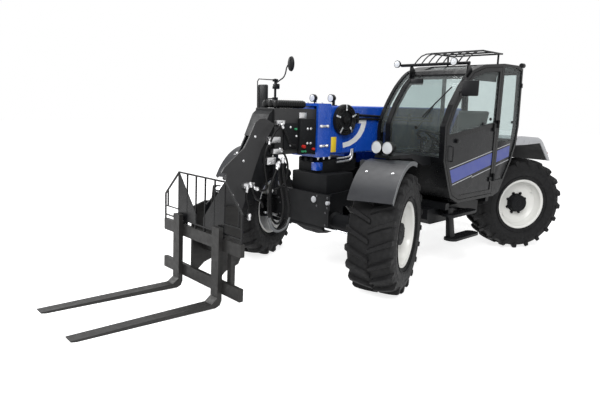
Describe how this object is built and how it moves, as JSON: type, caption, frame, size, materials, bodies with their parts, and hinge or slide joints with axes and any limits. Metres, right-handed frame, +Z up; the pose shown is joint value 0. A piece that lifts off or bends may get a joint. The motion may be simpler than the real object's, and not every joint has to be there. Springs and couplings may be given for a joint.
{
  "type": "telehandler",
  "caption": "Rough-terrain telehandler: side cab, telescopic boom with pallet forks and load guard, four steered wheels with lugged tyres.",
  "frame": {"origin": "ground level under the middle of the machine's bounding box, wheels standing on Z = 0", "axes": "+X to the machine's left (cab side), -Y forward over the forks, +Z up"},
  "size_m": [2.8502, 6.5605, 2.487],
  "materials": {
    "chassis_paint": "satin",
    "boom_paint": "gloss",
    "head_grey": "satin",
    "fork_steel": "satin",
    "cab_paint": "satin",
    "door_paint": "satin",
    "hood_paint": "gloss",
    "rim_paint": "satin",
    "axle_iron": "rough",
    "weight_iron": "rough",
    "tyre_rubber": "matte",
    "black_plastic": "matte",
    "lamp_white": "gloss",
    "tinted_glass": "clear",
    "mirror_glass": "gloss",
    "seat_fabric": "matte",
    "rod_chrome": "polished",
    "engine_iron": "rough",
    "exhaust_steel": "satin"
  },
  "bodies": {
    "chassis": {"chassis_frame": "chassis_paint", "counterweight": "weight_iron", "driveline": "axle_iron", "fuel_tank": "black_plastic", "cab_steps": "chassis_paint", "engine_bay": "chassis_paint", "engine_block": "engine_iron", "exhaust_stack": "exhaust_steel", "rear_fenders": "black_plastic", "lamp_arms": "chassis_paint", "lamps": "lamp_white", "mirror_stand": "black_plastic", "mirrors": "mirror_glass", "cab_frame": "cab_paint", "cab_glass": "tinted_glass", "roof_guard": "cab_paint", "seat_base": "black_plastic", "seat_cushions": "seat_fabric", "cab_controls": "black_plastic", "axle_front": "axle_iron", "axle_rear": "axle_iron"},
    "hood": {"engine_hood": "hood_paint"},
    "door": {"door_frame": "cab_paint", "door_glass": "tinted_glass", "door_panel": "door_paint"},
    "boom": {"boom_outer": "boom_paint", "hose_drum": "black_plastic", "boom_lamps": "lamp_white"},
    "boom_extension": {"boom_inner": "head_grey", "boom_head": "head_grey", "head_plate": "head_grey"},
    "carriage": {"carriage_frame": "fork_steel", "load_guard": "cab_paint", "forks": "fork_steel"},
    "lift_barrel": {"lift_cylinder_barrel": "chassis_paint"},
    "lift_rod": {"lift_cylinder_rod": "rod_chrome"},
    "tilt_barrel": {"tilt_cylinder_barrel": "chassis_paint"},
    "tilt_rod": {"tilt_cylinder_rod": "rod_chrome"},
    "front_tie_rod": {"steering_rod_front": "rod_chrome"},
    "rear_tie_rod": {"steering_rod_rear": "rod_chrome"},
    "knuckle_front_left": {"knuckle_front_left": "axle_iron", "fender_front_left": "black_plastic"},
    "wheel_front_left": {"tyre_front_left": "tyre_rubber", "rim_front_left": "rim_paint", "hub_front_left": "axle_iron"},
    "knuckle_front_right": {"knuckle_front_right": "axle_iron", "fender_front_right": "black_plastic"},
    "wheel_front_right": {"tyre_front_right": "tyre_rubber", "rim_front_right": "rim_paint", "hub_front_right": "axle_iron"},
    "knuckle_rear_left": {"knuckle_rear_left": "axle_iron"},
    "wheel_rear_left": {"tyre_rear_left": "tyre_rubber", "rim_rear_left": "rim_paint", "hub_rear_left": "axle_iron"},
    "knuckle_rear_right": {"knuckle_rear_right": "axle_iron"},
    "wheel_rear_right": {"tyre_rear_right": "tyre_rubber", "rim_rear_right": "rim_paint", "hub_rear_right": "axle_iron"}
  },
  "joints": [
    {"name": "steer_front_left", "type": "hinge", "parent": "chassis", "child": "knuckle_front_left", "pos_m": [0.755, -0.4537, 0.608], "axis": [0, 0, 1], "range_deg": [-55.9, 14.1]},
    {"name": "spin_front_left", "type": "hinge", "parent": "knuckle_front_left", "child": "wheel_front_left", "pos_m": [0.755, -0.4537, 0.608], "axis": [0.9342, 0.3567, 0], "continuous": true},
    {"name": "steer_front_right", "type": "hinge", "parent": "chassis", "child": "knuckle_front_right", "pos_m": [-0.755, -0.4537, 0.608], "axis": [0, 0, 1], "range_deg": [-55.9, 14.1]},
    {"name": "spin_front_right", "type": "hinge", "parent": "knuckle_front_right", "child": "wheel_front_right", "pos_m": [-0.755, -0.4537, 0.608], "axis": [0.9342, 0.3567, 0], "continuous": true},
    {"name": "steer_rear_left", "type": "hinge", "parent": "chassis", "child": "knuckle_rear_left", "pos_m": [0.755, 2.5103, 0.608], "axis": [0, 0, 1], "range_deg": [-4.8, 65.2]},
    {"name": "spin_rear_left", "type": "hinge", "parent": "knuckle_rear_left", "child": "wheel_rear_left", "pos_m": [0.755, 2.5103, 0.608], "axis": [0.8643, -0.503, 0], "continuous": true},
    {"name": "steer_rear_right", "type": "hinge", "parent": "chassis", "child": "knuckle_rear_right", "pos_m": [-0.755, 2.5103, 0.608], "axis": [0, 0, 1], "range_deg": [-4.8, 65.2]},
    {"name": "spin_rear_right", "type": "hinge", "parent": "knuckle_rear_right", "child": "wheel_rear_right", "pos_m": [-0.755, 2.5103, 0.608], "axis": [0.8643, -0.503, 0], "continuous": true},
    {"name": "tie_rod_front", "type": "slide", "parent": "chassis", "child": "front_tie_rod", "axis": [1, 0, 0], "range_m": [-0.1476, 0.038]},
    {"name": "tie_rod_rear", "type": "slide", "parent": "chassis", "child": "rear_tie_rod", "axis": [1, 0, 0], "range_m": [-0.172, 0.0136]},
    {"name": "boom_lift", "type": "hinge", "parent": "chassis", "child": "boom", "pos_m": [0, 2.0963, 1.62], "axis": [-1, 0, 0], "range_deg": [0, 68]},
    {"name": "boom_extend", "type": "slide", "parent": "boom", "child": "boom_extension", "axis": [0, -1, 0], "range_m": [0, 2.1]},
    {"name": "carriage_tilt", "type": "hinge", "parent": "boom_extension", "child": "carriage", "pos_m": [0, -1.7237, 0.84], "axis": [-1, 0, 0], "range_deg": [-75, 15]},
    {"name": "lift_cylinder_swing", "type": "hinge", "parent": "chassis", "child": "lift_barrel", "pos_m": [0, 1.9963, 0.58], "axis": [-1, 0, 0], "range_deg": [-1, 37.4]},
    {"name": "lift_cylinder_stroke", "type": "slide", "parent": "lift_barrel", "child": "lift_rod", "axis": [0, -0.8233, 0.5676], "range_m": [-0.001, 0.8741]},
    {"name": "tilt_cylinder_swing", "type": "hinge", "parent": "boom_extension", "child": "tilt_barrel", "pos_m": [0, -1.2687, 1.5], "axis": [-1, 0, 0], "range_deg": [-1.46, 5.3]},
    {"name": "tilt_cylinder_stroke", "type": "slide", "parent": "tilt_barrel", "child": "tilt_rod", "axis": [0, -0.6955, -0.7185], "range_m": [-0.0441, 0.2163]},
    {"name": "cab_door", "type": "hinge", "parent": "chassis", "child": "door", "pos_m": [1.114, 1.4303, 1.35], "axis": [0, 0, 1], "range_deg": [0, 90]},
    {"name": "engine_hood", "type": "hinge", "parent": "chassis", "child": "hood", "pos_m": [-0.31, 1.0463, 1.42], "axis": [0, 1, 0], "range_deg": [0, 60]}
  ],
  "couplings": [
    {"joint": "steer_front_right", "follows": "steer_front_left", "ratio": 1},
    {"joint": "steer_rear_right", "follows": "steer_rear_left", "ratio": 1},
    {"joint": "tie_rod_front", "follows": "steer_front_left", "m_per_rad": 0.15023},
    {"joint": "tie_rod_rear", "follows": "steer_rear_left", "m_per_rad": -0.15023},
    {"joint": "lift_cylinder_swing", "follows": "boom_lift", "ratio": 0.536},
    {"joint": "lift_cylinder_stroke", "follows": "boom_lift", "m_per_rad": 0.73568},
    {"joint": "tilt_cylinder_swing", "follows": "carriage_tilt", "ratio": -0.064},
    {"joint": "tilt_cylinder_stroke", "follows": "carriage_tilt", "m_per_rad": -0.16444}
  ]
}
